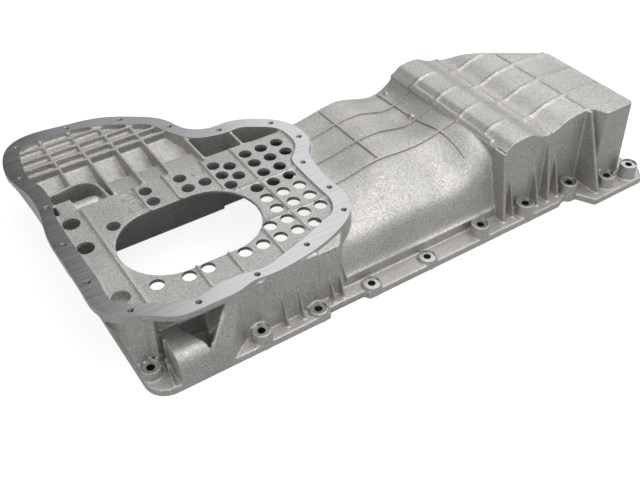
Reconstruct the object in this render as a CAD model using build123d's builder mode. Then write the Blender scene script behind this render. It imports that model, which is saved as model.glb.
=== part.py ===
# Upper engine oil pan, one aluminium casting, lying on its block face.
# Millimetres. Z = 0 is the machined block face, +Z points away from the engine block,
# +X runs along the crankshaft towards the ribbed reservoir box.
import os
from math import hypot

from build123d import *

# heights above the block face
flange_thickness = 8.0
tray_top = 74.0
tray_thickness = 4.0
ring_top = 77.0
ring_thickness = 8.0
wall = 5.0

# block flange
flange_left = -332.0
flange_right = 332.0
flange_front = -129.5
flange_back = 129.5
flange_waist = 6.5
wide_front = -151.0
corner_radius = 24.0

# bolts through the block flange: M8 in an 8.5 mm clearance hole with a spot face
bolt_hole = 8.5
spot_face = 18.0
boss_wall = 1.5
spot_clearance = 30.0
bolt_row_y = -119.5
bolt_low = 11.0
bolt_high = 22.0
# X, Y and height of each front boss, from left to right
front_bosses = [
    (-321.0, -100.0, bolt_low + 6.0), (-208.5, bolt_row_y, bolt_low + 8.0), (-140.1, bolt_row_y, bolt_low),
    (-71.7, bolt_row_y, bolt_low), (4.65, bolt_row_y, bolt_low), (81.0, bolt_row_y, bolt_high),
    (150.6, bolt_row_y, bolt_high), (222.6, bolt_row_y, bolt_high), (271.0, -135.0, bolt_high),
    (307.0, -137.0, bolt_high + 3.0),
]
back_bosses = [
    (-321.0, bolt_low), (-208.5, bolt_low), (-140.1, bolt_low), (-71.7, bolt_low), (4.65, bolt_low),
    (81.0, bolt_low), (150.6, bolt_high), (222.6, bolt_high), (307.0, bolt_high),
]

# sump ring: face outline, opening outline and its tapped holes
ring_outline = [
    (-351, 40), (-349, 78), (-344, 102), (-342, 120), (-343, 146), (-348, 170), (-351, 195),
    (-346, 222), (-335, 243), (-320, 254), (-300, 258), (-264, 254), (-231, 249), (-209, 241),
    (-184, 225), (-162, 207), (-152, 191), (-145, 171), (-132, 157), (-115, 151), (-97, 151),
    (-77, 146), (-60, 136), (-47, 126), (-34, 109), (-29, 92), (-29, 74), (-34, 58), (-45, 44),
    (-51, 24), (-55, -14), (-54, -41), (-60, -60), (-73, -77), (-91, -88), (-131, -102),
    (-160, -107), (-192, -108), (-207, -107), (-222, -111), (-242, -112), (-266, -112),
    (-288, -109), (-301, -101), (-318, -88), (-339, -74), (-348, -60), (-351, -44),
]
ring_opening = [
    (-332, 35), (-332, 75), (-330, 101), (-326, 119), (-325, 133), (-326, 153), (-331, 170),
    (-331, 196), (-328, 216), (-320, 234), (-308, 239), (-296, 239), (-258, 238), (-225, 229),
    (-193, 211), (-173, 196), (-167, 182), (-156, 159), (-141, 141), (-124, 134), (-103, 131),
    (-87, 131), (-69, 121), (-53, 108), (-48, 98), (-47, 86), (-49, 68), (-59, 53), (-69, 42),
    (-72, 26), (-73, -28), (-73, -38), (-76, -50), (-83, -61), (-100, -69), (-120, -77),
    (-159, -89), (-190, -96), (-209, -93), (-243, -93), (-259, -97), (-275, -94), (-290, -87),
    (-303, -78), (-321, -68), (-331, -57), (-333, -44), (-331, -17),
]
ring_holes = [
    (-324, 239), (-340, 179), (-334, 113), (-341, 46), (-341, -19), (-322, -77), (-264, -103),
    (-199, -101), (-135, -91), (-72, -66), (-63, -25), (-62, 30), (-38, 76), (-51, 119),
    (-110, 141), (-156, 181), (-200, 228), (-261, 246),
]
ring_drill = 5.0
ring_drill_depth = 12.0
ring_pad_radius = 9.0
ring_pads = [(-264, -103), (-199, -101), (-136, -93)]

# pickup opening in the tray: a long hole
pickup_radius = 52.5
pickup_left = -248.0
pickup_right = -196.0
pickup_y = -2.5

# drain holes in the tray on a square grid
drain_pitch = 21.0
drain_hole = 15.0
grid_x = -86.0
grid_y = 0.0
drain_cells = [
    (0, 0), (-1, 0), (0, -1), (-2, 0), (-1, -1), (0, -2), (-2, -1), (-1, -2), (-2, -2), (-1, -3),
    (-3, -2), (-2, -3), (-3, -3), (-4, -3), (-5, -3), (-7, -3), (-8, -3), (-9.5, -2.7),
    (0, 1), (-1, 1), (-2, 1), (1, 4), (0, 4), (-1, 4), (1, 3), (0, 3), (-1, 3), (0, 2), (-1, 2),
    (-3, 4), (-2.25, 3.5), (-3, 3), (-2.25, 2.5), (-3, 2), (-5, 4), (-4, 3), (-5, 3), (-7, 4),
    (-7, 3), (-9.5, 2.3),
]
blind_cells = [(-4, 4), (-8, 3), (-8, 4)]
blind_depth = 1.2
access_holes = [(-323.0, 32.0), (-322.0, -54.0), (-321.0, 76.0)]
access_hole = 19.0

# raised seams on the tray: X, Y end, Y start, then Y, X start, X end
seam_width = 2.8
seam_height = 1.0
seams_y = [(-118, 102, -72), (-158, 98, 38), (-158, -42, -87), (-206, 99, 50), (-206, -55, -88),
           (-242, 97, 50), (-242, -55, -90), (-304, 91, -74)]
seams_x = [(31, -150, -71), (-33, -149, -75)]

# back edge of the tray: X start, X end, Y
tray_steps = [(-340, -276, 91), (-276, -232, 98.5), (-232, -151, 99.5), (-151, -90, 104.5), (-90, -40, 103)]

# lattice behind the tray: its underside height by the tray, and the shelf next to the tray
back_wall = 97.5
overhang_low = 40.0
shelf_top = 69.0
shelf_left = -262.0
shelf_right = -151.0
shelf_back = 128.0
rib_top = 75.0
rib_thickness = 3.5
rib_depth = 60.0
# X of each long rib and the Y where it starts
lattice_ribs_x = [(-297, 138), (-262, 99), (-228, 99), (-195, 100), (-151, 104), (-100, 104)]
lattice_rows_y = [178, 193, 211, 229]
lattice_rows_x = (-360, -140)

# left pocket of the lattice: square block, oil pipe and the curved rib around it
pocket_block = (-316.0, 107.0, 18.0, 20.0)
pipe_radius = 10.0
pipe_y = 105.0
pipe_z = 58.0
pipe_end = -272.0
curved_rib = [(-328, 136), (-297, 139), (-283, 138), (-274, 129), (-271, 118), (-269, 99)]

# reservoir box, right part: wave profile along X as (X, Z)
wave = [(119, 93), (126, 97), (135, 102.5), (158, 104), (180, 95), (196, 93.5), (222, 102.5), (251, 105), (310, 105)]
# reservoir box, left part with its rounded front: Y of each profile and its heights at the profile's X places
top_places = [-95, -60, -25, 9, 36, 66, 97, 122]
top_rows = 15
top_profiles = [
    (112, [72, 72, 73, 80, 83, 77, 73.5, 90]),
    (30, [72, 72, 74, 81, 83, 76.5, 78, 91]),
    (-19, [72, 72, 77, 82.5, 81, 82, 87.5, 92.5]),
    (-38, [71.5, 70.5, 74, 78, 75.5, 74, 86, 92]),
    (-55, [68, 66, 69, 70.5, 68, 66.5, 82, 91.5]),
    (-78, [58, 57, 59, 59, 57, 57, 70, 87]),
    (-95, [42, 43, 43, 43, 41, 41, 46, 68]),
    (-106, [20, 20, 20, 20, 20, 20, 20, 20]),
]
box_left = -135.0
shoulder = [(-106, -160), (-106, -107), (-90, -88), (-66, -60), (-60, 0), (-60, 112)]
shoulder_top = 72.0
box_right = 308.0
box_back = 106.0
ring_wall_y = 102.0
box_front = -105.0
inner_round = 6.0
box_draft = 2.0
box_rib_height = 1.9
box_rib_width = 3.0
box_ribs_x = [(67.5, -35, 240), (24.2, -55, 303), (-19.2, -58, 303), (-62.6, 124, 303)]
box_ribs_y = [(9, 104, -19), (97, 104, -66), (123, 67, -78), (192, 104, -104), (251, 54, -104)]

# fins: thickness, then X, foot Y, top Y and top height of each
fin_thick = 4.0
fin_thin = 2.5
thick_fins = [(119, -121, -104, 105), (190, -121, -104, 95), (251, -143, -108, 105)]
thin_fins = [(134, -120, -98, 80), (173, -120, -98, 80), (206.5, -120, -98, 80), (-178, -122, -109, 50),
             (-158, -122, -109, 47), (-118, -119, -107, 39), (-106, -119, -107, 39)]

# platform at the front left corner and the slanting wall beside it
platform_top = 40.0
platform_x = (-302.0, -268.0)
platform_front = -129.0
platform_back = -82.0
platform_round = 18.0
slant_start = (-266.0, -127.0)
slant_end = (-238.0, -104.0)
slant_low = 40.0
slant_high = 69.0
slant_thickness = 5.0


def high_block(drop):
    """Right part of the box, whose top follows the wave profile, one smooth curve per stretch."""
    left = wave[0][0] + max(drop, 0)
    top = [(max(x, left), z - drop) for x, z in wave]
    slopes = [(z1 - z0) / (x1 - x0) for (x0, z0), (x1, z1) in zip(wave, wave[2:])]
    tangents = [(1, slope) for slope in [0.6] + slopes + [0.0]]
    with BuildPart() as block:
        with BuildSketch(Plane.XZ.offset(-140)):
            with BuildLine():
                for start, end, leaving, arriving in zip(top, top[1:], tangents, tangents[1:]):
                    Spline(start, end, tangents=(leaving, arriving))
                Polyline(top[-1], (top[-1][0], 0), (left, 0), top[0])
            make_face()
        extrude(amount=300)
    return block.part


def profile_at(y):
    """Heights of the left part at one Y, read between its profiles."""
    for (back, high), (front, low) in zip(top_profiles, top_profiles[1:]):
        if front <= y <= back:
            share = (y - front) / (back - front)
            return [a * share + b * (1 - share) for a, b in zip(high, low)]


def low_block(drop):
    """Left part of the box under one smooth surface through its profiles, from the back to the rounded front."""
    back, front = top_profiles[0][0], top_profiles[-1][0]
    places = top_places[:-1] + [top_places[-1] + max(drop, 0)]
    rows = []
    for i in range(top_rows):
        y = back + (front - back) * i / (top_rows - 1)
        inwards = drop / 2 if y < 0 else 0
        rows.append([(x, y + inwards, z - drop) for x, z in zip(places, profile_at(y))])
    corner = [(x - drop, y) for x, y in shoulder]
    with BuildPart() as block:
        extrude(Face.make_surface_from_array_of_points(rows), amount=150, dir=(0, 0, -1))
        add(prism_z([(box_left - 5, -160)] + corner + [(box_left - 5, back)], 0, shoulder_top - drop))
    return block.part


def prism_x(points, x0, x1):
    """Prism along X with a section given as (Y, Z) points."""
    with BuildPart() as prism:
        with BuildSketch(Plane.YZ.offset(x0)):
            Polygon(*points, align=None)
        extrude(amount=x1 - x0)
    return prism.part


def prism_y(points, y0, y1):
    """Prism along Y with a section given as (X, Z) points."""
    with BuildPart() as prism:
        with BuildSketch(Plane.XZ.offset(-y1)):
            Polygon(*points, align=None)
        extrude(amount=y1 - y0)
    return prism.part


def prism_z(points, z0, z1):
    """Upright prism with a plan given as (X, Y) points."""
    with BuildPart() as prism:
        with BuildSketch(Plane.XY.offset(z0)):
            Polygon(*points, align=None)
        extrude(amount=z1 - z0)
    return prism.part


def curve_prism(points, z0, z1):
    """Upright prism with a smooth closed outline through the points."""
    with BuildPart() as prism:
        with BuildSketch(Plane.XY.offset(z0)):
            with BuildLine():
                Spline(*points[::-1], periodic=True)
            make_face()
        extrude(amount=z1 - z0)
    return prism.part


def box_plan(inset):
    """Plan of the reservoir box at its foot, drawn clear of its walls."""
    right = box_right + 4 - inset
    back = box_back + 4 - inset
    front = box_front + inset
    left_back = ring_wall_y - inset
    points = [
        (box_left, left_back), (-36, left_back), (-28, back), (190, back), (right, 24 - inset),
        (right, -124 + inset), (262, -124 + inset), (254, front), (box_left, front - 4),
    ]
    with BuildSketch() as sketch:
        with BuildLine():
            Polyline(*points[::-1], close=True)
        make_face()
        fillet(sketch.vertices().filter_by(lambda corner: box_left < corner.X < right), inner_round)
        fillet(sketch.vertices().group_by(Axis.X)[-1], 10 - inset)
    return sketch.sketch


def reservoir_box(inset, raised=0.0):
    """Reservoir box solid; a smaller one cuts its hollow and a raised one gives the tops of its ribs."""
    with BuildPart() as box:
        add(low_block(inset - raised))
        add(high_block(inset - raised))
        with BuildSketch():
            add(box_plan(inset))
        extrude(amount=150, taper=box_draft, mode=Mode.INTERSECT)
    return box.part


def box_ribs():
    """Raised ribs that follow the top of the box."""
    with BuildPart() as ribs:
        for y, x0, x1 in box_ribs_x:
            with Locations(((x0 + x1) / 2, y, 90)):
                Box(x1 - x0, box_rib_width, 60)
        for x, y1, y0 in box_ribs_y:
            with Locations((x, (y0 + y1) / 2, 90)):
                Box(box_rib_width, y1 - y0, 60)
        add(reservoir_box(0.0, box_rib_height), mode=Mode.INTERSECT)
    return ribs.part


def overhang(bottom, shelf):
    """Region above the sloping underside of the overhang behind the back wall."""
    with BuildPart() as region:
        add(prism_x([(back_wall, bottom - 12), (132, bottom), (146, bottom + 10), (178, bottom + 21),
                     (232, bottom + 25.5), (270, bottom + 26), (270, 130), (back_wall, 130)], -360, -20))
        with Locations(((shelf_left + shelf_right) / 2, back_wall, 0)):
            Box(shelf_right - shelf_left, 2 * (shelf_back - back_wall), 2 * shelf, mode=Mode.SUBTRACT)
    return region.part


def front_wall():
    """Wall under the front of the ring with a round pad for each of its holes."""
    with BuildPart() as front:
        add(prism_x([(-95, 4), (-113, 4), (-107, 74), (-95, 74)], -288, -132))
        with Locations([(x, y, flange_thickness / 2) for x, y in ring_pads]):
            Cylinder(ring_pad_radius, ring_top - flange_thickness, align=(Align.CENTER, Align.CENTER, Align.MIN))
    return front.part


def fins():
    """Upright fins in front of the walls, standing on the flange."""
    with BuildPart() as group:
        for places, thickness in ((thick_fins, fin_thick), (thin_fins, fin_thin)):
            for x, foot_y, top_y, top_z in places:
                add(prism_x([(-90, 4), (foot_y, 4), (foot_y + 1, 14), (top_y, top_z), (-90, top_z)],
                            x - thickness / 2, x + thickness / 2))
    return group.part


def bosses():
    """Round bosses for the block bolts, each height in one go."""
    places = [(x, y, z) for x, y, z in front_bosses] + [(x, -bolt_row_y, z) for x, z in back_bosses]
    with BuildPart() as group:
        for height in sorted({z for x, y, z in places}):
            with Locations([(x, y, 0) for x, y, z in places if z == height]):
                Cylinder(spot_face / 2 + boss_wall, height, align=(Align.CENTER, Align.CENTER, Align.MIN))
    return group.part


def corner_platform():
    """Platform with a rounded front and the slanting wall to its right."""
    x0, x1 = platform_x
    centre_y = platform_front + platform_round
    centre_z = platform_top - platform_round
    run = slant_end[0] - slant_start[0]
    rise = slant_end[1] - slant_start[1]
    length = hypot(run, rise)
    with BuildPart() as platform:
        with BuildSketch(Plane.YZ.offset(x0)):
            with BuildLine():
                Polyline((centre_y, platform_top), (platform_back, platform_top), (platform_back, 4),
                         (platform_front, 4), (platform_front, centre_z))
                CenterArc((centre_y, centre_z), platform_round, 90, 90)
            make_face()
        extrude(amount=x1 - x0)
        with BuildSketch(Plane(origin=(*slant_start, 0), x_dir=(run, rise, 0), z_dir=(rise, -run, 0))):
            Polygon((-3, 4), (-3, slant_low - 8), (2, slant_low), (length, slant_high), (length + 12, slant_high),
                    (length + 12, 4), align=None)
        extrude(amount=slant_thickness / 2, both=True)
    return platform.part


def lattice():
    """Ribs, block and pipe inside the overhang behind the tray."""
    x0, x1 = lattice_rows_x
    block_x, block_y, block_width, block_length = pocket_block
    with BuildPart() as inside:
        for x, y in lattice_ribs_x:
            with Locations((x, y, rib_top)):
                Box(rib_thickness, 260 - y, rib_depth, align=(Align.CENTER, Align.MIN, Align.MAX))
        with Locations([((x0 + x1) / 2, y, rib_top) for y in lattice_rows_y]):
            Box(x1 - x0, rib_thickness, rib_depth, align=(Align.CENTER, Align.CENTER, Align.MAX))
        with Locations((block_x, block_y, tray_top)):
            Box(block_width, block_length, rib_depth, align=(Align.CENTER, Align.CENTER, Align.MAX))
        with Locations(((block_x + pipe_end) / 2, pipe_y, pipe_z)):
            Cylinder(pipe_radius, pipe_end - block_x, rotation=(0, 90, 0))
        with BuildSketch(Plane.XY.offset(tray_top)):
            with BuildLine():
                Spline(*curved_rib)
            trace(line_width=rib_thickness)
        extrude(amount=-rib_depth)
        add(curve_prism(ring_opening, 10, 100), mode=Mode.INTERSECT)
        add(overhang(overhang_low + 2, shelf_top - 2), mode=Mode.INTERSECT)
    return inside.part


def tray_seams():
    """Raised seams on the tray."""
    height = seam_height + 1
    with BuildPart() as seams:
        for x, y1, y0 in seams_y:
            with Locations((x, (y0 + y1) / 2, tray_top - 1)):
                Box(seam_width, y1 - y0, height, align=(Align.CENTER, Align.CENTER, Align.MIN))
        for y, x0, x1 in seams_x:
            with Locations(((x0 + x1) / 2, y, tray_top - 1)):
                Box(x1 - x0, seam_width, height, align=(Align.CENTER, Align.CENTER, Align.MIN))
    return seams.part


with BuildPart() as upper_oil_pan:
    # block flange with its corners
    with BuildSketch():
        with BuildLine():
            Polyline(
                (flange_left, flange_back), (flange_left, flange_front), (-131, flange_front),
                (-127, flange_front + flange_waist), (-84, flange_front + flange_waist),
                (-80, flange_front), (200, flange_front), (216, flange_front + flange_waist),
                (226, flange_front + 3), (240, wide_front), (320, wide_front), (flange_right, wide_front + 14),
                (flange_right, 100), (300, flange_back), close=True,
            )
        make_face()
    extrude(amount=flange_thickness)
    left_corners = upper_oil_pan.edges().filter_by(Axis.Z).group_by(Axis.X)[0]
    fillet(left_corners, corner_radius)

    # walls under the ring: the left one leans in, the back one stands on the flange
    with BuildPart(mode=Mode.PRIVATE) as skirt:
        add(curve_prism(ring_outline, 0, ring_top))
        add(prism_y([(-400, -1), (-327, -1), (-327, 8), (-348, 69), (-400, 72)], -300, 300), mode=Mode.SUBTRACT)
        with BuildPart(mode=Mode.PRIVATE) as behind:
            add(prism_x([(back_wall, -1), (300, -1), (300, 66), (back_wall, 66)], -400, 0))
            add(overhang(overhang_low, shelf_top - wall), mode=Mode.SUBTRACT)
        add(behind.part, mode=Mode.SUBTRACT)
    add(skirt.part)
    add(curve_prism(ring_outline, ring_top - ring_thickness, ring_top))
    with Locations([(x, y, ring_top - ring_drill_depth - 2) for x, y in ring_holes]):
        Cylinder(ring_drill / 2 + wall, 10, align=(Align.CENTER, Align.CENTER, Align.MIN))

    # front wall, platform, fins and bosses
    add(front_wall())
    add(corner_platform())
    add(fins())
    add(bosses())

    # reservoir box and its ribs
    add(reservoir_box(0.0))
    add(box_ribs())

    # hollow under the tray
    with BuildPart(mode=Mode.PRIVATE) as crankcase:
        add(prism_z([(-341, 92.5), (-341, -60), (-318, -80), (-290, -102), (-137, -102), (-137, -96), (-108, -90),
                     (-103, -58), (-76, -46), (-76, 62), (-52, 92.5)], -1, tray_top - tray_thickness))
        add(prism_y([(-400, -2), (-321, -2), (-321, 0), (-341, tray_top), (-400, tray_top + 1)], -300, 300),
            mode=Mode.SUBTRACT)
    add(crankcase.part, mode=Mode.SUBTRACT)
    add(reservoir_box(wall), mode=Mode.SUBTRACT)

    # opening of the ring down to the tray, and the recess behind it
    with BuildPart(mode=Mode.PRIVATE) as recess:
        add(curve_prism(ring_opening, 10, 100))
        add(overhang(overhang_low + wall, shelf_top), mode=Mode.INTERSECT)
        for x0, x1, y in tray_steps:
            with Locations((x0, y, 0)):
                Box(x1 - x0, 400, 200, align=(Align.MIN, Align.MAX, Align.CENTER), mode=Mode.SUBTRACT)
        add(curve_prism(ring_opening, tray_top, 120))
    add(recess.part, mode=Mode.SUBTRACT)

    # lattice and seams
    with BuildPart(mode=Mode.PRIVATE) as raised:
        add(lattice())
        add(tray_seams())
    add(raised.part)

    # pickup opening, drain holes, blind rings and access holes of the tray
    with BuildPart(mode=Mode.PRIVATE) as holes:
        with BuildSketch(Plane.XY.offset(tray_top - 10)):
            with Locations(((pickup_left + pickup_right) / 2, pickup_y)):
                SlotCenterToCenter(pickup_right - pickup_left, 2 * pickup_radius)
        extrude(amount=20)
        with Locations([(grid_x + i * drain_pitch, grid_y + j * drain_pitch, tray_top) for i, j in drain_cells]):
            Cylinder(drain_hole / 2, 4 * tray_thickness)
        with Locations([(grid_x + i * drain_pitch, grid_y + j * drain_pitch, tray_top) for i, j in blind_cells]):
            Cylinder(drain_hole / 2, 2 * blind_depth)
        with Locations([(x, y, tray_top) for x, y in access_holes]):
            Cylinder(access_hole / 2, 4 * tray_thickness)
        # tapped holes of the ring, clearance holes of the block flange and their spot faces
        with Locations([(x, y, ring_top) for x, y in ring_holes]):
            Cylinder(ring_drill / 2, 2 * ring_drill_depth)
        with Locations(front_bosses):
            Cylinder(spot_face / 2 + boss_wall, spot_clearance, align=(Align.CENTER, Align.CENTER, Align.MIN))
        with Locations([(x, y, 0) for x, y, z in front_bosses] + [(x, -bolt_row_y, 0) for x, z in back_bosses]):
            Cylinder(bolt_hole / 2, 4 * bolt_high)
    add(holes.part, mode=Mode.SUBTRACT)

upper_oil_pan.part.label = "upper_oil_pan"
os.makedirs("parts", exist_ok=True)
export_step(upper_oil_pan.part, "parts/upper_oil_pan.step")
print(upper_oil_pan.part.bounding_box(), upper_oil_pan.part.volume / 1000, len(upper_oil_pan.part.solids()))
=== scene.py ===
from math import atan2, cos, pi, radians, sin

import bpy
from mathutils import Matrix, Vector


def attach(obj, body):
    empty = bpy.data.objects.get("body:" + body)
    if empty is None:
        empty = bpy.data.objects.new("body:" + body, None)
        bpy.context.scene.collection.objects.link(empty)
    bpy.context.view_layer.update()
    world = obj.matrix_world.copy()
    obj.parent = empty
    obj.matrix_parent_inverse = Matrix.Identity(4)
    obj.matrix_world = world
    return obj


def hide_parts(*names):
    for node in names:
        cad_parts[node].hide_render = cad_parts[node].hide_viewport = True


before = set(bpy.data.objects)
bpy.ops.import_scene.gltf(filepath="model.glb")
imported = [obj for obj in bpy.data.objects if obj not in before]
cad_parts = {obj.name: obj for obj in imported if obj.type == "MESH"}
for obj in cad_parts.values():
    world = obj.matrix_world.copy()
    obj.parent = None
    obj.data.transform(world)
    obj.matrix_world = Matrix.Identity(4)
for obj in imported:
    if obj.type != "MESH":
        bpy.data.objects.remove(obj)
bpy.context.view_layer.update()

MM = 0.001
NODE = "upper_oil_pan"

# sizes and places are in millimetres, and heights count from the block face
ring_top = 77.0
tray_top = 74.0
tray_thickness = 4.0
# a point nearer than this to a height is on it, and two points nearer than this are one
same_height = 0.02
same_point = 0.01

# the raw casting: metal left on milled faces and on bosses, cell of the remesh, smoothing that
# rounds the corners, and the triangles that it keeps
allowance = 3.0
boss_allowance = 1.6
remesh_cell = 1.15
rounding_factor = 0.5
rounding_passes = 3
casting_triangles = 145000
# edges that turn by more than this stay crisp
crisp_angle = radians(32)

# bolts through the block flange: X, Y and height of the spot face, front row first
bolt_hole = 8.5
spot_face = 18.0
boss_round = 21.0
boss_foot = 2.0
bolt_row = 119.5
bolt_spots = [
    (-321.0, -100.0, 17.0), (-208.5, -bolt_row, 19.0), (-140.1, -bolt_row, 11.0), (-71.7, -bolt_row, 11.0),
    (4.65, -bolt_row, 11.0), (81.0, -bolt_row, 22.0), (150.6, -bolt_row, 22.0), (222.6, -bolt_row, 22.0),
    (271.0, -135.0, 22.0), (307.0, -137.0, 25.0),
    (-321.0, bolt_row, 11.0), (-208.5, bolt_row, 11.0), (-140.1, bolt_row, 11.0), (-71.7, bolt_row, 11.0),
    (4.65, bolt_row, 11.0), (81.0, bolt_row, 11.0), (150.6, bolt_row, 22.0), (222.6, bolt_row, 22.0),
    (307.0, bolt_row, 22.0),
]

# tapped holes of the sump ring, with an M6 thread of standard pitch
tapped_holes = [
    (-324, 239), (-340, 179), (-334, 113), (-341, 46), (-341, -19), (-322, -77), (-264, -103),
    (-199, -101), (-135, -91), (-72, -66), (-63, -25), (-62, 30), (-38, 76), (-51, 119),
    (-110, 141), (-156, 181), (-200, 228), (-261, 246),
]
tap_drill = 5.0
tap_depth = 12.0
tap_chamfer = 0.8
thread_outside = 6.0
thread_pitch = 1.0
# the screw that cuts the thread: its sides, and its rings of points for each turn
thread_sides = 16
thread_steps = 3

# holes of the tray, on a square grid: pitch, X of column 0, then column and row of each hole
drain_pitch = 21.0
drain_hole = 15.0
grid_x = -86.0
drain_cells = [
    (0, 0), (-1, 0), (0, -1), (-2, 0), (-1, -1), (0, -2), (-2, -1), (-1, -2), (-2, -2), (-1, -3),
    (-3, -2), (-2, -3), (-3, -3), (-4, -3), (-5, -3), (-7, -3), (-8, -3), (-9.5, -2.7),
    (0, 1), (-1, 1), (-2, 1), (1, 4), (0, 4), (-1, 4), (1, 3), (0, 3), (-1, 3), (0, 2), (-1, 2),
    (-3, 4), (-2.25, 3.5), (-3, 3), (-2.25, 2.5), (-3, 2), (-5, 4), (-4, 3), (-5, 3), (-7, 4),
    (-7, 3), (-9.5, 2.3),
]
drain_holes = [(grid_x + i * drain_pitch, j * drain_pitch) for i, j in drain_cells]
# blind holes are only marked, by a groove of this radius
blind_cells = [(-4, 4), (-8, 3), (-8, 4)]
blind_holes = [(grid_x + i * drain_pitch, j * drain_pitch) for i, j in blind_cells]
blind_groove = 1.3
access_holes = [(-323.0, 32.0), (-322.0, -54.0), (-321.0, 76.0)]
access_hole = 19.0

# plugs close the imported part's holes: how much wider they are, and how far they reach past them
tray_plug_extra = 2.0
tap_plug_extra = 3.0
tap_plug_under = 1.0
bolt_plug_extra = 4.0
bolt_plug_top = 4.0

# milling: X and Y of the corners between which each cutter sweeps, and how deep it reaches
ring_sweeps = [((-380, -140), (-50, 280)), ((-51, 30), (-27, 200))]
block_sweep = ((-400, -200), (400, 200))
sweep_reach = 20.0

# drilling: how far each tool reaches past the metal that it cuts
spot_facer_reach = 30.0
bolt_drill_reach = 5.0
tap_reach = 4.0
countersink_reach = 1.0
punch_depth = 10.0
punch_reach = 0.5

# raised seams on the tray: X, Y start and Y end, then Y, X start and X end
seam_width = 2.4
seam_height = 1.7
seam_root = 1.0
seam_edge = 0.3
seams_y = [(-118, -72, 102), (-158, 38, 98), (-158, -87, -42), (-206, 50, 99), (-206, -88, -55),
           (-242, 50, 97), (-242, -90, -55), (-304, -74, 91)]
seams_x = [(31, -150, -71), (-33, -149, -75)]

# raised ribs on the left part of the reservoir box: Y, X start and X end, then X, Y start and Y end,
# and the heights between which the box has its surface there
box_rib_height = 1.9
box_rib_width = 2.8
box_ribs_x = [(67.5, -32, 124), (24.2, -52, 124), (-19.2, -56, 124)]
box_ribs_y = [(9, -20.6, 103), (97, -66, 103)]
box_heights = (60, 100)

# the tall fin at the front of the box is trimmed between these corners, level with the box's edge
fin_trim = ((116, -115, 95), (121.2, -80, 115))

# front left corner, as points around each form: metal behind the corner's thin walls and behind the
# notch beside the dome, the slope beside the slanting wall, the space above the platform, and the
# deep pocket between platform and slanting wall
wall_backing = [
    [(-322, -40, 4), (-322, -74, 4), (-308, -88, 4), (-308, -45, 4), (-340, -40, 69.5),
     (-340, -66, 69.5), (-318, -83, 69.5), (-308, -90, 69.5), (-308, -45, 69.5)],
    [(x, y, z) for z in (4, 69.5)
     for x, y in [(-312, -84), (-290, -103), (-236, -104), (-236, -84), (-312, -70)]],
    [(x, y, z) for x in (-99, -87) for y, z in [(-105.5, 9), (-92, 9), (-96, 29), (-88, 29)]],
]
corner_slope = [(-266, -129, 4), (-246, -129, 4), (-224, -113, 4), (-224, -100, 4), (-246, -100, 4),
                (-266, -129, 34), (-247, -129, 16), (-236, -110, 67), (-224, -110, 67),
                (-224, -100, 67), (-240, -100, 67)]
above_platform = [(-303, -140, 40), (-303, -82, 40), (-270, -140, 40), (-268, -126, 40), (-247, -82, 40),
                  (-303, -140, 69), (-303, -82, 69), (-262, -140, 69), (-241, -114, 69), (-241, -82, 69)]
deep_pocket = [(x, y, z) for z in (14, 50) for x, y in
               [(-281, -94), (-275, -107), (-268, -121), (-262, -116), (-254, -84), (-281, -84)]]

# upright grooves between the columns of the corner: X, Y, radius, low and high end
corner_grooves = [(-315, -93, 3.5, 9, 69), (-305.5, -98, 4.5, 11, 69), (-305.5, -90, 4.5, 11, 69),
                  (-335, -70, 11.0, 13, 65)]

# thin fins beside the platform: foot and top point of the edge of each, and the height, inside the
# flange, that they start at
corner_fins = [((-310, -128, 9), (-303, -93, 13)), ((-298, -128, 9), (-300, -105.5, 27))]
fin_thickness = 2.4
fin_root = 5.0

# oil pipe beside the square block of the lattice: radius, Y and Z of its axis, X of both ends
pipe_radius = 10.5
pipe_axis = (107.0, 62.5)
pipe_start = -308.0
pipe_end = -285.0

# studio: soft boxes with their places and sides in metres and their watts, and the aim of all
soft_boxes = [
    ("key_softbox", (0.55, -0.55, 1.9), 1.4, 17),
    ("back_softbox", (1.25, 1.05, 1.5), 1.9, 8),
    ("fill_softbox", (-1.5, -0.6, 1.2), 1.4, 4),
]
light_aim = Vector((0.0, 0.0, 0.05))

# floor: side and depth under the part in metres, its glow to the camera, the share of that glow
# that metal mirrors, and how far from the middle the part's own shadow keeps it from mirroring
floor_side = 12
floor_drop = 0.0002
paper_glow = 0.82
mirrored_share = 0.35
shadow_reach = [("X", 0.325), ("Y", 0.125)]

# room: light at the horizon and overhead, and how high up it is full, from 0 to 1
room_low = 0.4
room_high = 1.0
room_full = 0.9
# a dark curtain behind the table, which the far left stretch of the milled ring mirrors: where its
# middle is, the angles from there up to which it is dark and at which it ends, and its share of light
curtain_turn = radians(-16)
curtain_rise = radians(38)
curtain_dark = radians(19)
curtain_end = radians(27)
curtain_light = 0.05

# camera, worked out from the photograph
image_width = 640
focal_pixels = 855.07
camera_place = Vector((-480.8, -640.0, 651.0))
camera_forward = Vector((0.41476, 0.62746, -0.65898))
camera_up = Vector((0.36679, 0.54749, 0.75215))
camera_shift = -0.0015
sensor_width = 36.0
clip_start = 0.05
clip_end = 30


# hand tools

def deselect():
    """Leaves nothing selected and no object active."""
    bpy.ops.object.select_all(action="DESELECT")
    bpy.context.view_layer.objects.active = None


def hold(piece):
    """Selects one object alone and makes it active."""
    deselect()
    piece.select_set(True)
    bpy.context.view_layer.objects.active = piece


def finish_with(piece, kind, **settings):
    """Adds a modifier and applies it."""
    hold(piece)
    modifier = piece.modifiers.new(kind.lower(), kind)
    for name, value in settings.items():
        setattr(modifier, name, value)
    bpy.ops.object.modifier_apply(modifier=modifier.name)


def place_in_mesh():
    """Moves the active object's place, turn and size into its mesh."""
    bpy.ops.object.transform_apply(location=True, rotation=True, scale=True)


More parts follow.
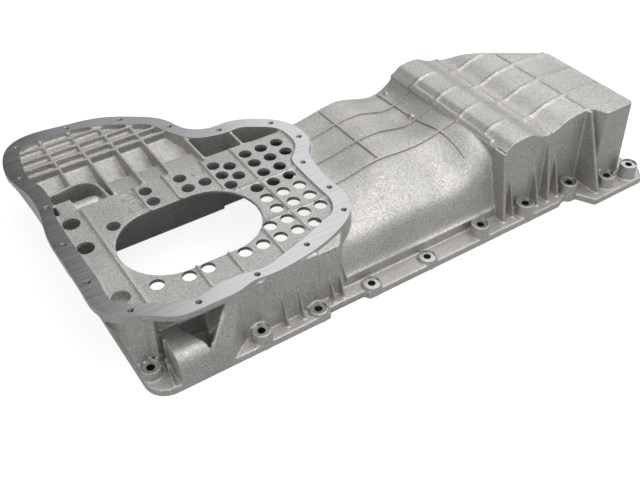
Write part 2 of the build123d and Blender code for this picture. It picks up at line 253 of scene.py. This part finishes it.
def pick_points(piece, wanted):
    """Opens a piece for editing with the points selected that a test picks."""
    hold(piece)
    bpy.ops.object.mode_set(mode="EDIT")
    bpy.ops.mesh.select_mode(type="VERT")
    bpy.ops.mesh.select_all(action="DESELECT")
    bpy.ops.object.mode_set(mode="OBJECT")
    for point in piece.data.vertices:
        point.select = wanted(point.co)
    bpy.ops.object.mode_set(mode="EDIT")


def all_points(point):
    """The test that picks every point."""
    return True


def move_points(piece, wanted, x=0, y=0, z=0):
    """Moves the points that a test picks, in millimetres."""
    pick_points(piece, wanted)
    bpy.ops.transform.translate(value=(x * MM, y * MM, z * MM))
    bpy.ops.object.mode_set(mode="OBJECT")


def new_piece(name, mesh):
    """New object for a mesh, in the scene."""
    piece = bpy.data.objects.new(name, mesh)
    bpy.context.scene.collection.objects.link(piece)
    return piece


def cylinder(x, y, z0, z1, diameter, sides=32):
    """Upright cylinder between two heights."""
    deselect()
    bpy.ops.mesh.primitive_cylinder_add(vertices=sides, radius=diameter / 2 * MM, depth=(z1 - z0) * MM,
                                        location=(x * MM, y * MM, (z0 + z1) / 2 * MM))
    return bpy.context.active_object


def block(low, high):
    """Block between two corners."""
    middle = [(a + b) / 2 * MM for a, b in zip(low, high)]
    size = [(b - a) * MM for a, b in zip(low, high)]
    deselect()
    bpy.ops.mesh.primitive_cube_add(size=1, location=middle, scale=size)
    return bpy.context.active_object


def bar(low, high, edge):
    """Block between two corners with bevelled edges."""
    piece = block(low, high)
    place_in_mesh()
    finish_with(piece, "BEVEL", width=edge * MM, segments=2)
    return piece


def hull(points):
    """Closed solid around points."""
    mesh = bpy.data.meshes.new("hull")
    mesh.from_pydata([Vector(point) * MM for point in points], [], [])
    piece = new_piece("hull", mesh)
    pick_points(piece, all_points)
    bpy.ops.mesh.convex_hull()
    bpy.ops.object.mode_set(mode="OBJECT")
    return piece


def along_x(rows, width, z0, z1):
    """Low and high corners of strips along X, from rows of Y, X start and X end."""
    return [((x0, y - width / 2, z0), (x1, y + width / 2, z1)) for y, x0, x1 in rows]


def along_y(columns, width, z0, z1):
    """Low and high corners of strips along Y, from columns of X, Y start and Y end."""
    return [((x - width / 2, y0, z0), (x + width / 2, y1, z1)) for x, y0, y1 in columns]


def joined(pieces, name):
    """Joins pieces to one object at the origin."""
    deselect()
    for piece in pieces:
        piece.select_set(True)
    bpy.context.view_layer.objects.active = pieces[0]
    bpy.ops.object.join()
    made = bpy.context.active_object
    place_in_mesh()
    made.name = name
    return made


def combine(piece, tool, operation):
    """Combines a piece with a tool, which is used up; faces from the tool keep its finish."""
    finish_with(piece, "BOOLEAN", operation=operation, solver="MANIFOLD", object=tool,
                material_mode="TRANSFER")
    bpy.data.objects.remove(tool)


def cut(piece, cutters, finish):
    """Takes cutters away from a piece; the cut faces get a finish."""
    tool = joined(cutters, "cutter")
    tool.data.materials.clear()
    tool.data.materials.append(finish)
    combine(piece, tool, "DIFFERENCE")


def weld_on(piece, additions, finish):
    """Adds solids with a finish to a piece."""
    tool = joined(additions, "addition")
    tool.data.materials.clear()
    tool.data.materials.append(finish)
    combine(piece, tool, "UNION")


# finishes

def linear(colour):
    """Linear colour of an sRGB hex value."""
    parts = [int(colour[i:i + 2], 16) / 255 for i in (1, 3, 5)]
    return (*[p / 12.92 if p <= 0.04045 else ((p + 0.055) / 1.055) ** 2.4 for p in parts], 1.0)


def new_material(name):
    """Empty node material and its tree."""
    material = bpy.data.materials.new(name)
    material.use_nodes = True
    material.node_tree.nodes.clear()
    return material, material.node_tree


def node(tree, kind, values=None, links=None, **settings):
    """Adds a node with its settings, socket values and links from other sockets."""
    made = tree.nodes.new(kind)
    for name, value in settings.items():
        setattr(made, name, value)
    for socket, value in (values or {}).items():
        made.inputs[socket].default_value = value
    for socket, source in (links or {}).items():
        tree.links.new(source, made.inputs[socket])
    return made


def per_mm(size):
    """Texture scale for a pattern of one size."""
    return 1 / (size * MM)


# most values of a noise texture lie between these
noise_range = {"From Min": 0.3, "From Max": 0.7}


def cast_finish():
    """Cast aluminium, blasted with glass beads: even light grey with a fine sparkling grain."""
    # the blasting grain is about 0.3 mm and is drawn at 1.6 mm to show
    grain_size = 1.6
    # the casting's skin is softly uneven over a few millimetres
    skin_size = 4.0
    # the tone changes slowly where the metal cooled and was handled
    cloud_size = 55.0
    material, tree = new_material("bead_blasted_cast_aluminium")
    place = node(tree, "ShaderNodeTexCoord").outputs["Object"]
    grain = node(tree, "ShaderNodeTexNoise", {"Scale": per_mm(grain_size), "Detail": 3.0, "Roughness": 0.7},
                 {"Vector": place})
    skin = node(tree, "ShaderNodeTexNoise", {"Scale": per_mm(skin_size), "Detail": 2.0, "Roughness": 0.5},
                {"Vector": place})
    clouds = node(tree, "ShaderNodeTexNoise", {"Scale": per_mm(cloud_size), "Detail": 4.0, "Roughness": 0.6},
                  {"Vector": place})
    tone = node(tree, "ShaderNodeMapRange", {**noise_range, "To Min": 0.0, "To Max": 1.0},
                {"Value": clouds.outputs["Fac"]})
    base = node(tree, "ShaderNodeMix", {"A": linear("#b4b2ae"), "B": linear("#c2c0bc")},
                {"Factor": tone.outputs["Result"]}, data_type="RGBA")
    speck = node(tree, "ShaderNodeMapRange",
                 {"From Min": 0.35, "From Max": 0.65, "To Min": 0.72, "To Max": 1.24},
                 {"Value": grain.outputs["Fac"]})
    colour = node(tree, "ShaderNodeVectorMath", None,
                  {0: base.outputs["Result"], 1: speck.outputs["Result"]}, operation="MULTIPLY")
    rough = node(tree, "ShaderNodeMapRange", {**noise_range, "To Min": 0.52, "To Max": 0.66},
                 {"Value": skin.outputs["Fac"]})
    soft = node(tree, "ShaderNodeBump", {"Strength": 0.35, "Distance": 0.5 * MM},
                {"Height": skin.outputs["Fac"]})
    fine = node(tree, "ShaderNodeBump", {"Strength": 0.6, "Distance": 0.3 * MM},
                {"Height": grain.outputs["Fac"], "Normal": soft.outputs["Normal"]})
    shader = node(tree, "ShaderNodeBsdfPrincipled", {"Metallic": 1.0},
                  {"Base Color": colour.outputs["Vector"], "Roughness": rough.outputs["Result"],
                   "Normal": fine.outputs["Normal"]})
    node(tree, "ShaderNodeOutputMaterial", None, {"Surface": shader.outputs["BSDF"]})
    return material


def milled_finish():
    """Face-milled aluminium: smooth, so that it mirrors the room, with faint arcs of the cutter."""
    # the cutter's feed marks are about 0.4 mm apart and are drawn 10 mm apart to show
    mark_spacing = 10.05
    # a wave texture repeats after this length at a scale of 1
    wave_length = 2 * pi / 20
    # streaks along the cutter's path: length, width and height
    streak_size = (60.0, 2.5, 10.0)
    streak_turn = radians(28)
    material, tree = new_material("face_milled_aluminium")
    place = node(tree, "ShaderNodeTexCoord").outputs["Object"]
    marks = node(tree, "ShaderNodeTexWave", {"Scale": per_mm(mark_spacing) * wave_length, "Distortion": 0.6,
                                             "Detail": 1.0, "Detail Scale": 0.5},
                 {"Vector": place}, wave_type="RINGS", rings_direction="Z")
    stretch = node(tree, "ShaderNodeMapping", {"Scale": [per_mm(size) for size in streak_size],
                                               "Rotation": (0.0, 0.0, streak_turn)}, {"Vector": place})
    streaks = node(tree, "ShaderNodeTexNoise", {"Scale": 1.0, "Detail": 4.0, "Roughness": 0.6},
                   {"Vector": stretch.outputs["Vector"]})
    tone = node(tree, "ShaderNodeMapRange", {**noise_range}, {"Value": streaks.outputs["Fac"]})
    colour = node(tree, "ShaderNodeMix", {"A": linear("#a9a9ab"), "B": linear("#bbbbbb")},
                  {"Factor": tone.outputs["Result"]}, data_type="RGBA")
    rough = node(tree, "ShaderNodeMapRange", {**noise_range, "To Min": 0.17, "To Max": 0.27},
                 {"Value": streaks.outputs["Fac"]})
    bump = node(tree, "ShaderNodeBump", {"Strength": 0.06, "Distance": 0.04 * MM},
                {"Height": marks.outputs["Fac"]})
    shader = node(tree, "ShaderNodeBsdfPrincipled", {"Metallic": 1.0},
                  {"Base Color": colour.outputs["Result"], "Roughness": rough.outputs["Result"],
                   "Normal": bump.outputs["Normal"]})
    node(tree, "ShaderNodeOutputMaterial", None, {"Surface": shader.outputs["BSDF"]})
    return material


def drilled_finish_with_painted_shade():
    """Bore wall left by a drill: smooth aluminium, its colour darker than the milled face as painted shade,
    since a bore sees little light.
    """
    # the drill leaves rings 0.6 mm apart, which vary over 4 mm around the bore
    ring_size = (4.0, 4.0, 0.6)
    material, tree = new_material("drilled_aluminium_painted_shade")
    place = node(tree, "ShaderNodeTexCoord").outputs["Object"]
    stretch = node(tree, "ShaderNodeMapping", {"Scale": [per_mm(size) for size in ring_size]},
                   {"Vector": place})
    rings = node(tree, "ShaderNodeTexNoise", {"Scale": 1.0, "Detail": 2.0},
                 {"Vector": stretch.outputs["Vector"]})
    rough = node(tree, "ShaderNodeMapRange", {**noise_range, "To Min": 0.3, "To Max": 0.45},
                 {"Value": rings.outputs["Fac"]})
    # the base colour is darker than the milled face: painted shade for the inside of the bores
    shader = node(tree, "ShaderNodeBsdfPrincipled", {"Metallic": 1.0, "Base Color": linear("#8f8d8a")},
                  {"Roughness": rough.outputs["Result"]})
    node(tree, "ShaderNodeOutputMaterial", None, {"Surface": shader.outputs["BSDF"]})
    return material


cast = cast_finish()
milled = milled_finish()
# the bore finish, whose darker colour is painted shade
drilled = drilled_finish_with_painted_shade()


# the raw casting

def allowed_copy():
    """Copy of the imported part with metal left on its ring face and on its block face."""
    casting = new_piece("oil_pan_casting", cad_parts[NODE].data.copy())
    pick_points(casting, all_points)
    bpy.ops.mesh.remove_doubles(threshold=same_point * MM)
    bpy.ops.object.mode_set(mode="OBJECT")
    move_points(casting, lambda point: abs(point.z - ring_top * MM) < same_height * MM, z=allowance)
    move_points(casting, lambda point: abs(point.z) < same_height * MM, z=-allowance)
    return casting


def fin(foot, top):
    """Thin fin on the flange whose edge rises from its foot to its top point."""
    along = Vector(top) - Vector(foot)
    side = Vector((-along.y, along.x, 0)).normalized() * fin_thickness / 2
    low = [Vector((x, y, fin_root)) for x, y, z in (foot, top)]
    edge = [Vector(foot), Vector(top)]
    return hull([point + side for point in low + edge] + [point - side for point in low + edge])


def shape_corner(casting):
    """Front left corner: backing, slope, space above the platform, deep pocket, grooves and fins."""
    for points in wall_backing:
        weld_on(casting, [hull(points)], cast)
    weld_on(casting, [hull(corner_slope)], cast)
    cut(casting, [hull(above_platform)], cast)
    cut(casting, [hull(deep_pocket)], cast)
    for x, y, radius, z0, z1 in corner_grooves:
        cut(casting, [cylinder(x, y, z0, z1, 2 * radius, sides=24)], cast)
    for foot, top in corner_fins:
        weld_on(casting, [fin(foot, top)], cast)


def oil_pipe():
    """Pipe along X with round ends."""
    y, z = pipe_axis
    deselect()
    bpy.ops.mesh.primitive_uv_sphere_add(segments=32, ring_count=16, radius=pipe_radius * MM,
                                         location=(pipe_end * MM, y * MM, z * MM),
                                         rotation=(0, radians(90), 0))
    pipe = bpy.context.active_object
    place_in_mesh()
    move_points(pipe, lambda point: point.x < (pipe_end - same_point) * MM, x=pipe_start - pipe_end)
    return pipe


def plugs():
    """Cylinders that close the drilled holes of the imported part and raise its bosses."""
    made = []
    for x, y in drain_holes + blind_holes:
        made.append(cylinder(x, y, tray_top - tray_thickness, tray_top, drain_hole + tray_plug_extra))
    for x, y in access_holes:
        made.append(cylinder(x, y, tray_top - tray_thickness, tray_top, access_hole + tray_plug_extra))
    for x, y in tapped_holes:
        made.append(cylinder(x, y, ring_top - tap_depth - tap_plug_under, ring_top + allowance,
                             tap_drill + tap_plug_extra, sides=16))
    for x, y, top in bolt_spots:
        made.append(cylinder(x, y, boss_foot, top + boss_allowance, boss_round, sides=40))
        made.append(cylinder(x, y, -allowance, bolt_plug_top, bolt_hole + bolt_plug_extra, sides=24))
    return made


def round_corners(casting):
    """Makes one skin of all the solids, with every corner rounded as in a casting."""
    finish_with(casting, "REMESH", mode="VOXEL", voxel_size=remesh_cell * MM, adaptivity=0.0)
    finish_with(casting, "SMOOTH", factor=rounding_factor, iterations=rounding_passes)
    triangles = 2 * len(casting.data.polygons)
    finish_with(casting, "DECIMATE", decimate_type="COLLAPSE", ratio=min(1.0, casting_triangles / triangles))
    casting.data.materials.clear()
    casting.data.materials.append(cast)


def raise_box_ribs(casting):
    """Ribs on the left part of the box: its own surface lifted, where the ribs run."""
    lifted = new_piece("lifted_casting", casting.data.copy())
    move_points(lifted, all_points, z=box_rib_height)
    ribs = joined([block(*strip) for strip in along_x(box_ribs_x, box_rib_width, *box_heights)], "box_ribs")
    crossings = [block(*strip) for strip in along_y(box_ribs_y, box_rib_width, *box_heights)]
    combine(ribs, joined(crossings, "rib_crossings"), "UNION")
    combine(ribs, lifted, "INTERSECT")
    weld_on(casting, [ribs], cast)


# machining

def mill_faces(casting):
    """Mills the sump ring and the block face, spot-faces the bosses and drills their bolt holes."""
    for low, high in ring_sweeps:
        cut(casting, [block((*low, ring_top), (*high, ring_top + sweep_reach))], milled)
    low, high = block_sweep
    cut(casting, [block((*low, -sweep_reach), (*high, 0))], milled)
    facers = [cylinder(x, y, top, top + spot_facer_reach, spot_face, sides=48) for x, y, top in bolt_spots]
    cut(casting, facers, milled)
    drills = [cylinder(x, y, -bolt_drill_reach, top + bolt_drill_reach, bolt_hole, sides=40)
              for x, y, top in bolt_spots]
    cut(casting, drills, drilled)


def thread_cutter(x, y):
    """Tap: a screw with the thread's outside diameter and a tap drill's core."""
    length = tap_depth + tap_reach
    rings = int(length / thread_pitch * thread_steps)
    deselect()
    bpy.ops.mesh.primitive_circle_add(vertices=thread_sides, radius=tap_drill / 2 * MM, fill_type="NGON",
                                      location=(x * MM, y * MM, (ring_top - tap_depth) * MM))
    tap = bpy.context.active_object
    bpy.ops.object.mode_set(mode="EDIT")
    bpy.ops.mesh.select_all(action="SELECT")
    for ring in range(rings):
        bpy.ops.mesh.extrude_region_move(TRANSFORM_OT_translate={"value": (0, 0, length / rings * MM)})
    bpy.ops.mesh.select_all(action="SELECT")
    bpy.ops.mesh.normals_make_consistent(inside=False)
    bpy.ops.object.mode_set(mode="OBJECT")
    depth = (thread_outside - tap_drill) / 2 * MM
    for point in tap.data.vertices:
        turn = atan2(point.co.y, point.co.x) / (2 * pi) + point.co.z / MM / thread_pitch
        out = point.co.to_2d().normalized() * depth * abs(2 * (turn % 1) - 1)
        point.co.x += out.x
        point.co.y += out.y
    return tap


def countersink(x, y):
    """Cone that opens the start of a thread."""
    depth = tap_chamfer + countersink_reach
    deselect()
    bpy.ops.mesh.primitive_cone_add(vertices=32, radius1=tap_drill / 2 * MM,
                                    radius2=(tap_drill / 2 + depth) * MM, depth=depth * MM,
                                    location=(x * MM, y * MM, (ring_top - tap_chamfer + depth / 2) * MM))
    return bpy.context.active_object


def round_groove(x, y):
    """Ring that cuts the mark of a blind hole."""
    deselect()
    bpy.ops.mesh.primitive_torus_add(major_segments=48, minor_segments=10, major_radius=drain_hole / 2 * MM,
                                     minor_radius=blind_groove * MM,
                                     location=(x * MM, y * MM, tray_top * MM))
    return bpy.context.active_object


def punch_tray(casting):
    """Drain and access holes of the tray, and the marks of the blind ones."""
    low = tray_top - punch_depth
    high = tray_top + punch_reach
    punches = [cylinder(x, y, low, high, drain_hole, sides=48) for x, y in drain_holes]
    punches += [cylinder(x, y, low, high, access_hole, sides=48) for x, y in access_holes]
    cut(casting, punches, cast)
    for x, y in blind_holes:
        cut(casting, [round_groove(x, y)], cast)


def raise_seams(casting):
    """Crisp raised seams on the tray."""
    low = tray_top - seam_root
    high = tray_top + seam_height
    for strip in along_y(seams_y, seam_width, low, high) + along_x(seams_x, seam_width, low, high):
        weld_on(casting, [bar(*strip, seam_edge)], cast)


oil_pan = allowed_copy()
shape_corner(oil_pan)
weld_on(oil_pan, [oil_pipe()], cast)
oil_pan = joined([oil_pan] + plugs(), "oil_pan_casting")
round_corners(oil_pan)
cut(oil_pan, [block(*fin_trim)], cast)
raise_box_ribs(oil_pan)
mill_faces(oil_pan)
cut(oil_pan, [thread_cutter(x, y) for x, y in tapped_holes], drilled)
cut(oil_pan, [countersink(x, y) for x, y in tapped_holes], drilled)
punch_tray(oil_pan)
raise_seams(oil_pan)

hold(oil_pan)
bpy.ops.object.shade_smooth_by_angle(angle=crisp_angle)
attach(oil_pan, "root")
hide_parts(NODE)


# studio

def studio_paper():
    """Matt paper that is white to the camera and keeps the part's shadow."""
    material, tree = new_material("studio_paper")
    seen = node(tree, "ShaderNodeLightPath")
    mirrored = node(tree, "ShaderNodeMath", None,
                    {0: seen.outputs["Is Glossy Ray"], 1: seen.outputs["Is Transmission Ray"]},
                    operation="MAXIMUM")
    spot = node(tree, "ShaderNodeSeparateXYZ", None,
                {0: node(tree, "ShaderNodeTexCoord").outputs["Object"]})
    outside = []
    for axis, reach in shadow_reach:
        away = node(tree, "ShaderNodeMath", None, {0: spot.outputs[axis]}, operation="ABSOLUTE")
        past = node(tree, "ShaderNodeMath", {1: reach}, {0: away.outputs[0]}, operation="GREATER_THAN")
        outside.append(past)
    open_paper = node(tree, "ShaderNodeMath", None,
                      {0: outside[0].outputs[0], 1: outside[1].outputs[0]}, operation="MAXIMUM")
    share = node(tree, "ShaderNodeMath", {1: mirrored_share}, {0: mirrored.outputs[0]}, operation="MULTIPLY")
    lit = node(tree, "ShaderNodeMath", None, {0: share.outputs[0], 1: open_paper.outputs[0]},
               operation="MULTIPLY")
    shown = node(tree, "ShaderNodeMath", None, {0: seen.outputs["Is Camera Ray"], 1: lit.outputs[0]},
                 operation="MAXIMUM")
    level = node(tree, "ShaderNodeMath", {1: paper_glow}, {0: shown.outputs[0]}, operation="MULTIPLY")
    glow = node(tree, "ShaderNodeEmission", {"Color": linear("#ffffff")}, {"Strength": level.outputs[0]})
    paper = node(tree, "ShaderNodeBsdfDiffuse", {"Color": linear("#8c8c8c")})
    both = node(tree, "ShaderNodeAddShader", None, {0: glow.outputs[0], 1: paper.outputs[0]})
    node(tree, "ShaderNodeOutputMaterial", None, {"Surface": both.outputs[0]})
    return material


def studio_room():
    """World: a pale room that is brighter overhead, with a dark curtain behind the table."""
    world = bpy.data.worlds.new("studio")
    world.use_nodes = True
    tree = world.node_tree
    tree.nodes.clear()
    direction = node(tree, "ShaderNodeTexCoord").outputs["Generated"]
    height = node(tree, "ShaderNodeSeparateXYZ", None, {0: direction})
    room = node(tree, "ShaderNodeMapRange",
                {"From Min": 0.0, "From Max": room_full, "To Min": room_low, "To Max": room_high},
                {"Value": height.outputs["Z"]}, interpolation_type="SMOOTHSTEP")
    curtain_place = Vector((sin(curtain_turn) * cos(curtain_rise), cos(curtain_turn) * cos(curtain_rise),
                            sin(curtain_rise)))
    near_curtain = node(tree, "ShaderNodeVectorMath", {1: curtain_place}, {0: direction},
                        operation="DOT_PRODUCT")
    curtain = node(tree, "ShaderNodeMapRange",
                   {"From Min": cos(curtain_end), "From Max": cos(curtain_dark), "To Min": 1.0,
                    "To Max": curtain_light},
                   {"Value": near_curtain.outputs["Value"]}, interpolation_type="SMOOTHSTEP")
    strength = node(tree, "ShaderNodeMath", None,
                    {0: room.outputs["Result"], 1: curtain.outputs["Result"]}, operation="MULTIPLY")
    sky = node(tree, "ShaderNodeBackground", {"Color": linear("#f6f6f8")}, {"Strength": strength.outputs[0]})
    node(tree, "ShaderNodeOutputWorld", None, {"Surface": sky.outputs[0]})
    return world


def soft_box(name, place, side, watts):
    """Square area light."""
    bpy.ops.object.light_add(type="AREA", location=place)
    lamp = bpy.context.active_object
    lamp.name = name
    lamp.data.size = side
    lamp.data.energy = watts
    lamp.rotation_euler = (light_aim - Vector(place)).to_track_quat("-Z", "Y").to_euler()


def photo_camera():
    """Camera of the photograph."""
    right = camera_forward.cross(camera_up).normalized()
    up = right.cross(camera_forward).normalized()
    turn = Matrix((right, up, -camera_forward.normalized())).transposed()
    bpy.ops.object.camera_add(location=camera_place * MM, rotation=turn.to_euler())
    camera = bpy.context.active_object
    camera.name = "photo_camera"
    camera.data.sensor_width = sensor_width
    camera.data.lens = focal_pixels / image_width * sensor_width
    camera.data.shift_x = camera_shift
    camera.data.clip_start = clip_start
    camera.data.clip_end = clip_end
    return camera


deselect()
bpy.ops.mesh.primitive_plane_add(size=floor_side, location=(0, 0, -floor_drop))
floor = bpy.context.active_object
floor.name = "studio_floor"
floor.data.materials.append(studio_paper())

deselect()
for name, place, side, watts in soft_boxes:
    soft_box(name, place, side, watts)
bpy.context.scene.world = studio_room()
bpy.context.scene.camera = photo_camera()
bpy.context.scene.view_settings.view_transform = "Standard"
